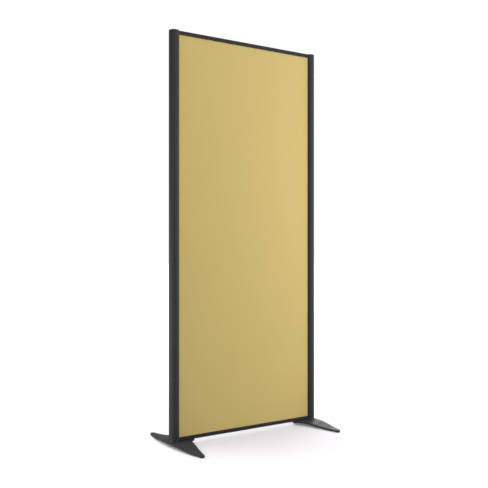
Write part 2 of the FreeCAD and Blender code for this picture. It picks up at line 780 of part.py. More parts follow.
def foot_outline(sketch):
    """Plan of the foot: a long outer arc, round tips and inner point, and hollow flanks."""
    tip_radius = d["tip_radius"].value
    apex_radius = d["apex_radius"].value
    flank_radius = d["flank_radius"].value
    angle = math.radians(d["flank_angle"].value)
    tip = FreeCAD.Vector(d["tip_inset"].value, d["tip_reach"].value, 0)
    apex = FreeCAD.Vector(d["apex_reach"].value, 0, 0)

    # The straight of the flank touches the tip's round and runs towards the inner point
    inward = FreeCAD.Vector(math.sin(angle), -math.cos(angle), 0)
    outward = FreeCAD.Vector(math.cos(angle), math.sin(angle), 0)
    straight_start = tip + outward * tip_radius

    # The hollow's centre is a flank radius from that straight, and touches the inner point's round
    line_start = tip + outward * (tip_radius + flank_radius)
    to_apex = apex - line_start
    reach = math.sqrt((flank_radius + apex_radius) ** 2 - to_apex.dot(outward) ** 2)
    hollow = line_start + inward * (to_apex.dot(inward) - reach)
    straight_end = hollow - outward * flank_radius
    to_hollow = hollow - apex
    to_hollow.normalize()
    hollow_end = apex + to_hollow * apex_radius

    # The outer arc's centre is on the x axis, and the arc touches both tips from outside
    outer_radius = d["outer_edge_radius"].value
    centre_x = tip.x + math.sqrt((outer_radius - tip_radius) ** 2 - tip.y ** 2)
    outer = FreeCAD.Vector(centre_x, 0, 0)
    to_tip = tip - outer
    to_tip.normalize()
    outer_end = outer + to_tip * outer_radius

    def front(point):
        return FreeCAD.Vector(point.x, -point.y, 0)

    pieces = smooth_path(sketch, closed=True, pieces=[
        short_arc(outer, front(outer_end), outer_end),
        short_arc(tip, outer_end, straight_start),
        Part.LineSegment(straight_start, straight_end),
        short_arc(hollow, straight_end, hollow_end),
        short_arc(apex, hollow_end, front(hollow_end)),
        short_arc(front(hollow), front(hollow_end), front(straight_end)),
        Part.LineSegment(front(straight_end), front(straight_start)),
        short_arc(front(tip), front(straight_start), front(outer_end)),
    ])
    outer_arc, rear_tip, rear_line, rear_hollow, apex_arc, front_hollow, front_line, front_tip = pieces
    constrain(sketch, d["outer_edge_radius"], "Radius", outer_arc)
    constrain(sketch, d["apex_radius"], "Radius", apex_arc)
    hold(sketch, apex_arc, CENTRE, d["apex_reach"], as_size(0))
    line_x = d["tip_inset"] + d["tip_radius"] * cosine(d["flank_angle"])
    for y_sign, tip_arc, hollow_arc in ((1, rear_tip, rear_hollow), (-1, front_tip, front_hollow)):
        constrain(sketch, d["tip_radius"], "Radius", tip_arc)
        constrain(sketch, d["flank_radius"], "Radius", hollow_arc)
        hold(sketch, tip_arc, CENTRE, d["tip_inset"], d["tip_reach"] * y_sign)
    constrain(sketch, line_x, "DistanceX", SKETCH_X_AXIS, START, rear_line, START)
    constrain(sketch, line_x, "DistanceX", SKETCH_X_AXIS, START, front_line, END)


def faces_up_or_down(face):
    """How far a face is turned from upright (0) to level (1), at its middle."""
    low_u, high_u, low_v, high_v = face.ParameterRange
    return abs(face.normalAt((low_u + high_u) / 2, (low_v + high_v) / 2).z)


def is_rim(shape, edge):
    """An edge between an upright side face and the top or the underside of the plate."""
    levels = [faces_up_or_down(face) for face in shape.ancestorsOfType(edge, Part.Face)]
    return min(levels) < UPRIGHT and max(levels) > LEVEL


def foot(side, sign):
    """Arched three-pointed steel blade, bolted up into the post and into the bottom rail."""
    body = new_body(f"{side}_foot")
    profile = new_sketch(body, "side_profile", "YZ_Plane")
    arched_profile(profile)
    sheet_half_width = d["apex_reach"] + d["apex_radius"] * 2
    pad(body, "bent_bar", profile, sheet_half_width * 2, symmetric=True)

    cut = new_sketch(body, "plan_outline", "XY_Plane")
    far_y = d["tip_reach"] + d["tip_radius"] * 3
    rectangle(cut, -sheet_half_width * 2, sheet_half_width * 2, -far_y, far_y)
    foot_outline(cut)
    pocket(body, "blade", cut)
    fillet(body, "rounded_rims", d["foot_edge_radius"], is_rim)

    holes = new_sketch(body, "bolt_holes_outline", "XY_Plane")
    circle(holes, 0, 0, d["post_bolt_diameter"] + d["bolt_clearance"])
    circle(holes, d["apex_reach"], 0, d["rail_bolt_diameter"] + d["bolt_clearance"])
    pocket(body, "bolt_holes", holes)
    stud_holes = new_sketch(body, "stud_holes_outline", "XY_Plane")
    for y_sign in (-1, 1):
        circle(stud_holes, d["tip_inset"], d["tip_reach"] * y_sign, d["glide_stud_diameter"])
    stud_top = d["glide_height"] + d["glide_stud_length"] + d["bolt_clearance"]
    pocket(body, "stud_holes", stud_holes, depth=stud_top, reverse=True)

    place(body, sign, as_size(0))
    return body


def gasket(side, sign):
    """Rubber pad between the foot and the frame, with a tongue under the bottom rail."""
    body = new_body(f"{side}_foot_gasket")
    thickness = d["gasket_thickness"]
    half_tongue = d["gasket_tongue_width"] / 2
    disc = new_sketch(body, "disc_outline", "XY_Plane")
    circle(disc, 0, 0, d["post_diameter"] - d["gasket_inset"] * 2)
    pad(body, "disc", disc, thickness)
    tongue = new_sketch(body, "tongue_outline", "XY_Plane")
    rectangle(tongue, 0, d["apex_reach"], -half_tongue, half_tongue)
    pad(body, "tongue", tongue, thickness)
    tongue_end = new_sketch(body, "tongue_end_outline", "XY_Plane")
    circle(tongue_end, d["apex_reach"], 0, d["gasket_tongue_width"])
    pad(body, "tongue_end", tongue_end, thickness)
    holes = new_sketch(body, "holes_outline", "XY_Plane")
    circle(holes, 0, 0, d["post_bolt_diameter"] + d["bolt_clearance"])
    circle(holes, d["apex_reach"], 0, d["rail_bolt_diameter"] + d["bolt_clearance"])
    pocket(body, "bolt_holes", holes)
    place(body, sign, foot_top)
    return body


# ------------------------------------------------------------------ levelling glides
def place_glide(body, side_sign, end_sign, height):
    body.setExpression("Placement.Base.x", ((post_x - d["tip_inset"]) * side_sign).text)
    body.setExpression("Placement.Base.y", (d["tip_reach"] * end_sign).text)
    body.setExpression("Placement.Base.z", as_size(height).text)


def glide(name, side_sign, end_sign):
    """Round plastic pad under a foot's tip, with a threaded stud moulded into it."""
    radius = d["glide_diameter"] / 2
    height = d["glide_height"]
    head_base = height - d["glide_head_height"]
    head_radius = d["glide_head_diameter"] / 2
    stud_radius = d["glide_stud_diameter"] / 2 - d["glide_stud_clearance"]
    recess_radius = head_radius + d["glide_stud_clearance"]

    pad_body = new_body(f"{name}_glide_pad")
    outline = new_sketch(pad_body, "outline", "XZ_Plane")
    polygon(outline, [
        (0, 0),
        (radius - d["glide_chamfer"], 0),
        (radius, d["glide_chamfer"]),
        (radius, height),
        (recess_radius, height),
        (recess_radius, head_base),
        (0, head_base),
    ])
    revolve(pad_body, "disc", outline)
    place_glide(pad_body, side_sign, end_sign, 0)

    stud_body = new_body(f"{name}_glide_stud")
    outline = new_sketch(stud_body, "outline", "XZ_Plane")
    shoulder = d["glide_head_height"]
    top = shoulder + d["glide_stud_length"]
    chamfer = d["thread_end_chamfer"]
    polygon(outline, [
        (0, 0),
        (head_radius, 0),
        (head_radius, shoulder),
        (stud_radius, shoulder),
        (stud_radius, top - chamfer),
        (stud_radius - chamfer, top),
        (0, top),
    ])
    revolve(stud_body, "stud", outline)
    place_glide(stud_body, side_sign, end_sign, head_base)
    return [pad_body, stud_body]


# ------------------------------------------------------------------ fasteners
def hexagon(sketch, width):
    """Regular hexagon about the origin, `width` across its flats."""
    half = width / 2
    corner = width / root(as_size(3))
    polygon(sketch, [(corner, 0), (corner / 2, half), (-corner / 2, half),
                     (-corner, 0), (-corner / 2, -half), (corner / 2, -half)])


def upward_bolt(label, prefix):
    """Socket-head bolt that points up, with its head's underside at the bottom."""
    body = new_body(label)
    head_radius = d[f"{prefix}_head"] / 2
    head_height = d[f"{prefix}_head_height"]
    shank_radius = d[f"{prefix}_diameter"] / 2
    tip = head_height + d[f"{prefix}_length"]
    chamfer = d["thread_end_chamfer"]
    outline = new_sketch(body, "outline", "XZ_Plane")
    polygon(outline, [
        (0, 0),
        (head_radius * BOLT_CROWN_WIDTH, 0),
        (head_radius, head_height * BOLT_CROWN_START),
        (head_radius, head_height),
        (shank_radius, head_height),
        (shank_radius, tip - chamfer),
        (shank_radius - chamfer, tip),
        (0, tip),
    ])
    revolve(body, "bolt", outline)
    socket = new_sketch(body, "socket_outline", "XY_Plane")
    hexagon(socket, d[f"{prefix}_socket"])
    pocket(body, "socket", socket, depth=head_height * BOLT_SOCKET_DEPTH, reverse=True)
    return body


def ring(label, outer_diameter, inner_diameter, height):
    body = new_body(label)
    outline = new_sketch(body, "outline", "XY_Plane")
    circle(outline, 0, 0, outer_diameter)
    circle(outline, 0, 0, inner_diameter)
    pad(body, "ring", outline, height)
    return body


def foot_fasteners(side, sign):
    """The bolt and washer into the post, and the bolt, washer and nut at the bottom rail."""
    pieces = []
    bolt_base = foot_under - d["post_washer_thickness"] - d["post_bolt_head_height"]
    post_bolt = upward_bolt(f"{side}_post_bolt", "post_bolt")
    place(post_bolt, sign, bolt_base)
    post_hole = d["post_bolt_diameter"] + d["bolt_clearance"]
    post_washer = ring(f"{side}_post_washer", d["post_washer_diameter"], post_hole,
                       d["post_washer_thickness"])
    place(post_washer, sign, foot_under - d["post_washer_thickness"])

    rail_bolt = upward_bolt(f"{side}_rail_bolt", "rail_bolt")
    rail_hole = d["rail_bolt_diameter"] + d["bolt_clearance"]
    rail_washer = ring(f"{side}_rail_washer", d["rail_washer_diameter"], rail_hole,
                       d["rail_washer_thickness"])
    rail_nut = new_body(f"{side}_rail_nut")
    outline = new_sketch(rail_nut, "outline", "XY_Plane")
    hexagon(outline, d["rail_nut_width"])
    circle(outline, 0, 0, d["rail_bolt_diameter"] + d["screw_clearance"])
    pad(rail_nut, "nut", outline, d["rail_nut_height"])
    washer_base = foot_under - d["rail_washer_thickness"]
    nut_base = frame_base + chamber_floor
    for piece, height in ((rail_bolt, washer_base - d["rail_bolt_head_height"]),
                          (rail_washer, washer_base), (rail_nut, nut_base)):
        piece.setExpression("Placement.Base.x", ((post_x - d["apex_reach"]) * sign).text)
        piece.setExpression("Placement.Base.z", height.text)
        pieces.append(piece)
    return pieces + [post_bolt, post_washer]


def countersunk_screw(name, length, turn, x, y, z):
    """Flush screw whose head's flat face is at its own origin, with its shank along -Z."""
    shank_radius = d["bracket_screw_diameter"] / 2
    head_radius = d["bracket_screw_head"] / 2
    head_height = head_radius - shank_radius

    shank = doc.addObject("Part::Cylinder", f"{name}_shank")
    shank.setExpression("Radius", shank_radius.text)
    shank.setExpression("Height", length.text)
    shank.setExpression("Placement.Base.z", (-length).text)
    head = doc.addObject("Part::Cone", f"{name}_head")
    head.setExpression("Radius1", shank_radius.text)
    head.setExpression("Radius2", head_radius.text)
    head.setExpression("Height", head_height.text)
    head.setExpression("Placement.Base.z", (-head_height).text)
    solid = doc.addObject("Part::Fuse", f"{name}_solid")
    solid.Base = shank
    solid.Tool = head
    socket = doc.addObject("Part::Prism", f"{name}_socket")
    socket.Polygon = 6
    socket.setExpression("Circumradius", (shank_radius * SCREW_SOCKET_WIDTH).text)
    socket.setExpression("Height", head_height.text)
    socket.setExpression("Placement.Base.z", (-head_height * SCREW_SOCKET_DEPTH).text)
    screw = doc.addObject("Part::Cut", name)
    screw.Base = solid
    screw.Tool = socket
    screw.Placement = FreeCAD.Placement(FreeCAD.Vector(0, 0, 0), turn)
    place_box(screw, x, y, z)
    return screw


def group(label, pieces):
    """Identical fasteners as one node of separate solids."""
    compound = doc.addObject("Part::Compound", label)
    compound.Label = label
    compound.Links = pieces
    return compound


def bracket_fasteners():
    """Two screws from each bracket into its post, and one through each rail into its bracket."""
    post_screws = []
    rail_screws = []
    for rail_name, end_sign in RAIL_ENDS:
        rail_face = frame_base if end_sign > 0 else rail_top
        upside_down = FreeCAD.Rotation(X_AXIS, HALF_TURN if end_sign > 0 else 0)
        for side, sign in SIDES:
            corner = f"{rail_name}_{side}"
            facing_inboard = FreeCAD.Rotation(Z_AXIS, FreeCAD.Vector(-sign, 0, 0))
            for number, (across, height) in enumerate(leg_screw_places(), start=1):
                post_screws.append(countersunk_screw(
                    f"{corner}_post_screw_{number}", d["bracket_screw_length"], facing_inboard,
                    (post_x - bracket_face) * sign, across * (-sign * end_sign),
                    rail_face + height * end_sign))
            rail_screws.append(countersunk_screw(
                f"{corner}_rail_screw", d["rail_screw_length"], upside_down,
                (post_x - d["rail_screw_reach"]) * sign, as_size(0), rail_face))
    return [group("bracket_post_screws", post_screws), group("bracket_rail_screws", rail_screws)]


# ------------------------------------------------------------------ assembly
def build():
    """Every sub-part of the screen, in the order of assembly."""
    pieces = []
    for side, sign in SIDES:
        pieces.append(foot(side, sign))
        for end, end_sign in FOOT_ENDS:
            pieces += glide(f"{side}_{end}", sign, end_sign)
        pieces.append(gasket(side, sign))
        pieces += foot_fasteners(side, sign)
        pieces += [base_cap(side, sign), post(side, sign), top_cap(side, sign)]
        for rail_name, end_sign in RAIL_ENDS:
            pieces.append(bracket(side, sign, rail_name, end_sign))
    pieces += [rail("bottom_rail", False, True), rail("top_rail", True, False)]
    pieces += bracket_fasteners()
    pieces += panel()
    return pieces


def check(pieces):
    """Stop if any object failed, or if a sub-part isn't a sound shape."""
    for item in doc.Objects:
        if "Invalid" in item.State or "Error" in item.State:
            raise RuntimeError(f"{item.Name} ({item.Label}) failed: {item.State}")
    for piece in pieces:
        if piece.Shape.isNull() or not piece.Shape.isValid():
            raise RuntimeError(f"{piece.Label} has no sound shape")


def export(pieces):
    os.makedirs("parts", exist_ok=True)
    for piece in pieces:
        piece.Shape.exportStep(f"parts/{piece.Label}.step")


parts = build()
doc.recompute()
check(parts)
export(parts)
print(f"{len(parts)} sub-parts written")
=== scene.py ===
"""Looks of an upholstered floor screen.

Two cloth covers, a finish for every CAD part, and the floor, light and camera around them.
Sizes are in metres."""

import math

import bmesh
import bpy
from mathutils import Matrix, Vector


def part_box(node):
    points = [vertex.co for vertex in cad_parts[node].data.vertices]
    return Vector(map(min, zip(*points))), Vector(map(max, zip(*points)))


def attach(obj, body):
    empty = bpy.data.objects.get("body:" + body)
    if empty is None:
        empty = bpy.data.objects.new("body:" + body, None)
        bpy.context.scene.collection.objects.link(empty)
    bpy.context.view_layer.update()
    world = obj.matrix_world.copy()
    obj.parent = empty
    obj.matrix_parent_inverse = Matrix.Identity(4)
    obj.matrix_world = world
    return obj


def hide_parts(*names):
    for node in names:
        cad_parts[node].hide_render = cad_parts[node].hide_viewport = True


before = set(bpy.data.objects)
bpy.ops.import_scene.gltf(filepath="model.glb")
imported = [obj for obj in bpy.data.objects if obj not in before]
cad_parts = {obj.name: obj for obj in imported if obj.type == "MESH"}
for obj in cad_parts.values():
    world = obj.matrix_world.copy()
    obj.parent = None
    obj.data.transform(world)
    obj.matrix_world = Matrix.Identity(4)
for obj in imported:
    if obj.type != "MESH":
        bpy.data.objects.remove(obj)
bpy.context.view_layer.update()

MM = 0.001

# The camera stands in front of the screen and to its left, level, at half the screen's height.
CAMERA_BEARING = math.radians(34.43)
CAMERA_HEADING = math.radians(34.28)
CAMERA_DISTANCE = 3.4275
CAMERA_HEIGHT = 0.875
CAMERA_LENS = 54.8

# Cloth covers. The gap is between a cover's edge and the middle of the panel's thickness.
CLOTH_THICKNESS = 0.9 * MM
CLOTH_EDGE_RADIUS = 2.0 * MM
CLOTH_MEETING_GAP = 0.2 * MM
CLOTH_CELL = 12 * MM
CLOTH_CROWN = 0.9 * MM
CLOTH_ARC_STEPS = 5
THREAD_PITCH = 1.1 * MM

# The cloth simulation that gives each cover's swell its form
SWELL_FRAMES = 20
SWELL_QUALITY = 4
SWELL_MASS = 0.3
SWELL_STRETCH_STIFFNESS = 60
SWELL_BENDING_STIFFNESS = 4
SWELL_PRESSURE = 0.5

# Materials that take the place of a slot's own on the nodes that lie level
# The level rails get the posts' frame coat made darker: painted shade.
LEVEL_MATERIALS = {"pine": "pine_level", "frame_coat": "shaded_rail_coat"}

# Studio
STUDIO_RADIUS = 30.0
REFLECTOR_DROP = 1 * MM
SURROUND_STRENGTH = 0.78
BACKDROP_STRENGTH = 1.01

# Soft boxes: place, target, width, height and power in watts
SOFTBOXES = {
    "front": ((0.3, -3.0, 3.4), (0.0, 0.0, 1.0), 3.0, 2.0, 90),
    "side": ((2.4, -0.3, 1.5), (0.3, 0.0, 1.2), 1.2, 2.2, 29),
    "rim": ((2.5, 1.8, 1.1), (0.3, 0.0, 0.9), 1.2, 2.0, 34),
    "strip": ((1.1, -1.0, 1.0), (0.38, 0.0, 0.9), 0.15, 1.8, 15),
    "low_left": ((-2.2, 0.3, 0.35), (-0.3, 0.0, 0.2), 1.2, 0.6, 40),
}
BACK_SOFTBOX = ((-0.3, 3.0, 3.4), (0.0, 0.0, 1.0), 3.0, 2.0, 90)


# ---------------------------------------------------------------- camera

def make_camera():
    """A level camera at the reference view."""
    camera = bpy.data.objects.new("camera", bpy.data.cameras.new("camera"))
    camera.location = (
        -CAMERA_DISTANCE * math.sin(CAMERA_BEARING),
        -CAMERA_DISTANCE * math.cos(CAMERA_BEARING),
        CAMERA_HEIGHT,
    )
    camera.rotation_euler = (math.radians(90), 0, -CAMERA_HEADING)
    camera.data.lens = CAMERA_LENS
    bpy.context.scene.collection.objects.link(camera)
    bpy.context.scene.camera = camera


# ---------------------------------------------------------------- material graphs

class Graph:
    """A material's node tree, with a short call for each kind of node used here.
    An input is a number, a colour or the output socket of another node."""

    def __init__(self, name, **values):
        self.material = bpy.data.materials.new(name)
        self.material.use_nodes = True
        self.tree = self.material.node_tree
        self.shader = self.tree.nodes["Principled BSDF"]
        for socket, value in values.items():
            self.shader.inputs[socket.replace("_", " ")].default_value = value

    def node(self, kind, inputs, output=0, **settings):
        made = self.tree.nodes.new(kind)
        for key, value in settings.items():
            setattr(made, key, value)
        for key, value in inputs.items():
            self.feed(made.inputs[key], value)
        return made.outputs[output]

    def feed(self, socket, value):
        if isinstance(value, bpy.types.NodeSocket):
            self.tree.links.new(value, socket)
        else:
            socket.default_value = value

    def surface(self, **inputs):
        """Links or sets the shader's own inputs."""
        for key, value in inputs.items():
            self.feed(self.shader.inputs[key.replace("_", " ")], value)
        return self.material

    def place(self):
        return self.node("ShaderNodeTexCoord", {}, "Object")

    def split(self, vector):
        made = self.tree.nodes.new("ShaderNodeSeparateXYZ")
        self.feed(made.inputs[0], vector)
        return made.outputs["X"], made.outputs["Y"], made.outputs["Z"]

    def math(self, operation, a, b=0.0, c=0.0):
        return self.node("ShaderNodeMath", {0: a, 1: b, 2: c}, operation=operation)

    def scaled(self, vector, factors):
        return self.node("ShaderNodeVectorMath", {0: vector, 1: factors}, operation="MULTIPLY")

    def noise(self, vector, size, detail=2.0, roughness=0.5):
        """Soft noise from 0 to 1, with features of that size in metres."""
        inputs = {"Vector": vector, "Scale": 1 / size, "Detail": detail, "Roughness": roughness}
        return self.node("ShaderNodeTexNoise", inputs)

    def spots(self, vector, size):
        """Distance to the nearest of many scattered points, in cells of that size."""
        return self.node("ShaderNodeTexVoronoi", {"Vector": vector, "Scale": 1 / size})

    def remap(self, value, low, high, new_low, new_high):
        """Maps the range from low to high onto the new one, and holds what is beyond it."""
        inputs = {
            "Value": value,
            "From Min": low,
            "From Max": high,
            "To Min": new_low,
            "To Max": new_high,
        }
        return self.node("ShaderNodeMapRange", inputs)

    def blend(self, factor, a, b):
        """A colour between a and b. The node has a socket of each name for every data type, and
        only the enabled ones belong to colours."""
        made = self.tree.nodes.new("ShaderNodeMix")
        made.data_type = "RGBA"
        for key, value in {"Factor": factor, "A": a, "B": b}.items():
            socket = next(s for s in made.inputs if s.name == key and s.enabled)
            self.feed(socket, value)
        return next(s for s in made.outputs if s.enabled)

    def bump(self, height, depth, strength=1.0, normal=None):
        inputs = {"Height": height, "Distance": depth, "Strength": strength}
        if normal is not None:
            inputs["Normal"] = normal
        return self.node("ShaderNodeBump", inputs)

    def edges(self, radius):
        """0 on flat and gently curved surface, rising to 1 along sharp outer edges."""
        rounded = self.node("ShaderNodeBevel", {"Radius": radius}, samples=4)
        true = self.node("ShaderNodeNewGeometry", {}, "Normal")
        both = {0: rounded, 1: true}
        along = self.node("ShaderNodeVectorMath", both, "Value", operation="DOT_PRODUCT")
        return self.remap(along, 1.0, 0.8, 0.0, 1.0)


def shade(colour, factor):
    """A colour made darker or lighter."""
    return tuple(channel * factor for channel in colour[:3]) + (1.0,)


# ---------------------------------------------------------------- materials

def powder_coat(name, colour, roughness, gloss, worn):
    """Fine-textured powder coat: soft orange peel, finer grit and lighter, rubbed edges."""
    g = Graph(name, Specular_IOR_Level=gloss)
    place = g.place()
    peel = g.noise(place, 1.6 * MM, 1.0)
    grit = g.noise(place, 0.35 * MM, 2.0, 0.6)
    cloudy = g.noise(place, 60 * MM, 3.0)
    patches = g.remap(g.noise(place, 9 * MM), 0.45, 0.7, 0.0, worn)
    rubbed = g.math("MULTIPLY", g.edges(0.8 * MM), patches)
    body = g.blend(cloudy, shade(colour, 0.9), shade(colour, 1.1))
    speckled = g.blend(g.remap(grit, 0.55, 0.8, 0.0, 0.5), body, shade(colour, 1.6))
    finish = g.remap(g.noise(place, 25 * MM, 2.0), 0.3, 0.7, roughness - 0.04, roughness + 0.04)
    fine = g.bump(grit, 0.02 * MM, 0.5)
    return g.surface(
        Base_Color=g.blend(rubbed, speckled, shade(colour, 3.0)),
        Roughness=g.math("SUBTRACT", finish, g.math("MULTIPLY", rubbed, 0.1)),
        Normal=g.bump(peel, 0.05 * MM, 0.4, fine),
    )


def woven_cloth(name, colour):
    """Plain-woven wool cloth: threads that pass over and under each other, with a short nap."""
    g = Graph(
        name,
        Sheen_Weight=0.35,
        Sheen_Roughness=0.45,
        Sheen_Tint=(1.0, 0.93, 0.72, 1.0),
        Specular_IOR_Level=0.2,
    )
    place = g.place()
    wander = g.math("MULTIPLY", g.math("SUBTRACT", g.noise(place, 35 * MM, 2.0), 0.5), 1.2)
    x, _, z = g.split(place)
    across = g.math("MULTIPLY_ADD", x, 1 / THREAD_PITCH, wander)
    along = g.math("MULTIPLY_ADD", z, 1 / THREAD_PITCH, wander)
    turn = g.math("ADD", g.math("FLOOR", across), g.math("FLOOR", along))
    weft_on_top = g.math("FLOORED_MODULO", turn, 2.0)
    warp = g.math("ABSOLUTE", g.math("SINE", g.math("MULTIPLY", across, math.pi)))
    weft = g.math("ABSOLUTE", g.math("SINE", g.math("MULTIPLY", along, math.pi)))
    warp_over = g.math("MULTIPLY", warp, g.math("POWER", weft, 0.4))
    weft_over = g.math("MULTIPLY", weft, g.math("POWER", warp, 0.4))
    height = g.node("ShaderNodeMix", {"Factor": weft_on_top, "A": warp_over, "B": weft_over})
    warp_yarn = g.noise(g.scaled(place, (1.0, 1.0, 0.06)), 0.9 * MM, 2.0)
    weft_yarn = g.noise(g.scaled(place, (0.06, 1.0, 1.0)), 0.9 * MM, 2.0)
    yarn = g.node("ShaderNodeMix", {"Factor": weft_on_top, "A": warp_yarn, "B": weft_yarn})
    fibre = g.noise(place, 0.25 * MM, 3.0, 0.7)
    dye = g.noise(place, 180 * MM, 3.0)
    tone = g.math("MULTIPLY_ADD", yarn, 0.5, g.math("MULTIPLY", fibre, 0.2))
    yarns = g.blend(tone, shade(colour, 0.86), shade(colour, 1.2))
    dyed = g.blend(g.remap(dye, 0.3, 0.7, 0.0, 0.06), yarns, shade(colour, 0.7))
    # Painted shade: the colour darkens down into the hollows between the threads.
    shaded_in_hollows = g.blend(g.remap(height, 0.0, 0.55, 0.32, 0.0), dyed, shade(colour, 0.35))
    fuzz = g.bump(fibre, 0.06 * MM, 0.35)
    return g.surface(
        Base_Color=shaded_in_hollows,
        Roughness=g.remap(yarn, 0.2, 0.8, 0.82, 0.95),
        Normal=g.bump(height, 0.22 * MM, 0.45, fuzz),
    )


def moulded_plastic(name, colour, roughness, grain):
    """Moulded plastic with a spark-eroded grain."""
    g = Graph(name, Specular_IOR_Level=0.4)
    place = g.place()
    texture = g.noise(place, grain, 3.0, 0.6)
    cloudy = g.noise(place, 12 * MM, 2.0)
    strokes = g.noise(g.scaled(place, (1.0, 6.0, 1.0)), 6 * MM, 3.0, 0.7)
    scuffs = g.remap(strokes, 0.62, 0.75, 0.0, 0.35)
    body = g.blend(cloudy, shade(colour, 0.88), shade(colour, 1.12))
    return g.surface(
        Base_Color=g.blend(scuffs, body, shade(colour, 1.7)),
        Roughness=g.remap(texture, 0.3, 0.7, roughness - 0.06, roughness + 0.06),
        Normal=g.bump(texture, 0.03 * MM, 0.5),
    )


def soft_rubber(name, colour):
    """Matt rubber sheet with a dusty bloom."""
    g = Graph(name, Specular_IOR_Level=0.3)
    place = g.place()
    dust = g.noise(place, 8 * MM, 4.0, 0.65)
    grain = g.noise(place, 0.5 * MM, 2.0)
    return g.surface(
        Base_Color=g.blend(g.remap(dust, 0.45, 0.75, 0.0, 0.5), colour, shade(colour, 2.2)),
        Roughness=g.remap(dust, 0.3, 0.7, 0.72, 0.88),
        Normal=g.bump(grain, 0.04 * MM, 0.6),
    )


def zinc_plate(name, colour, roughness):
    """Zinc-plated steel: cloudy passivation with fine drawn scratches."""
    g = Graph(name, Metallic=1.0)
    place = g.place()
    cloud = g.noise(place, 4 * MM, 3.0)
    scratches = g.noise(g.scaled(place, (1.0, 1.0, 14.0)), 2.5 * MM, 3.0, 0.7)
    worn = g.math("MULTIPLY", g.edges(0.3 * MM), g.remap(cloud, 0.4, 0.65, 0.1, 0.6))
    body = g.blend(cloud, shade(colour, 0.8), shade(colour, 1.15))
    return g.surface(
        Base_Color=g.blend(worn, body, (0.55, 0.55, 0.54, 1.0)),
        Roughness=g.remap(scratches, 0.3, 0.7, roughness - 0.08, roughness + 0.1),
        Normal=g.bump(scratches, 0.01 * MM, 0.5),
    )


def mill_aluminium(name, colour):
    """Sawn aluminium angle as it leaves the extrusion press, with faint die lines."""
    g = Graph(name, Metallic=1.0)
    place = g.place()
    lines = g.noise(g.scaled(place, (1.0, 0.02, 1.0)), 0.5 * MM, 3.0, 0.7)
    oxide = g.noise(place, 14 * MM, 4.0)
    return g.surface(
        Base_Color=g.blend(g.remap(oxide, 0.3, 0.7, 0.0, 0.6), colour, shade(colour, 0.78)),
        Roughness=g.remap(lines, 0.3, 0.7, 0.32, 0.48),
        Normal=g.bump(lines, 0.01 * MM, 0.6),
    )


def pressed_board(name, colour):
    """Oil-tempered hardboard: matted brown fibres under a smooth pressed face."""
    g = Graph(name, Specular_IOR_Level=0.35)
    place = g.place()
    fibres = g.noise(g.scaled(place, (1.0, 1.0, 2.6)), 2.2 * MM, 4.0, 0.7)
    flecks = g.remap(g.noise(place, 1.1 * MM, 2.0), 0.62, 0.75, 0.0, 0.6)
    mottled = g.blend(fibres, shade(colour, 0.65), shade(colour, 1.35))
    return g.surface(
        Base_Color=g.blend(flecks, mottled, shade(colour, 0.35)),
        Roughness=g.remap(fibres, 0.3, 0.7, 0.45, 0.65),
        Normal=g.bump(fibres, 0.05 * MM, 0.4),
    )


def pine(name, early, late, grain_axis):
    """Planed pine with growth rings that run along one axis (0 for X, 2 for Z)."""
    g = Graph(name, Specular_IOR_Level=0.3)
    stretch = [1.0, 1.0, 1.0]
    stretch[grain_axis] = 0.05
    place = g.place()
    drawn = g.scaled(place, tuple(stretch))
    sway = g.math("MULTIPLY", g.noise(drawn, 25 * MM, 2.0), 26.0)
    rings = g.math("MULTIPLY_ADD", g.math("SINE", sway), 0.5, 0.5)
    pores = g.noise(drawn, 0.5 * MM, 3.0, 0.7)
    timber = g.blend(g.math("POWER", rings, 3.0), early, late)
    return g.surface(
        Base_Color=g.blend(g.remap(pores, 0.5, 0.8, 0.0, 0.35), timber, shade(late, 0.6)),
        Roughness=g.remap(pores, 0.3, 0.7, 0.55, 0.7),
        Normal=g.bump(pores, 0.05 * MM, 0.5),
    )


def needled_felt(name, colour):
    """Recycled sound-absorbing felt: tangled fibres of mixed shades."""
    g = Graph(name, Sheen_Weight=0.3, Sheen_Roughness=0.6, Specular_IOR_Level=0.1)
    place = g.place()
    tangle = g.noise(place, 3 * MM, 5.0, 0.75)
    tufts = g.spots(place, 5 * MM)
    strands = g.noise(g.scaled(place, (5.0, 1.0, 1.0)), 4 * MM, 4.0, 0.7)
    mixed = g.blend(tangle, shade(colour, 0.6), shade(colour, 1.5))
    return g.surface(
        Base_Color=g.blend(g.remap(strands, 0.55, 0.75, 0.0, 0.6), mixed, shade(colour, 1.9)),
        Roughness=0.95,
        Normal=g.bump(g.math("ADD", tangle, tufts), 0.6 * MM, 0.6),
    )


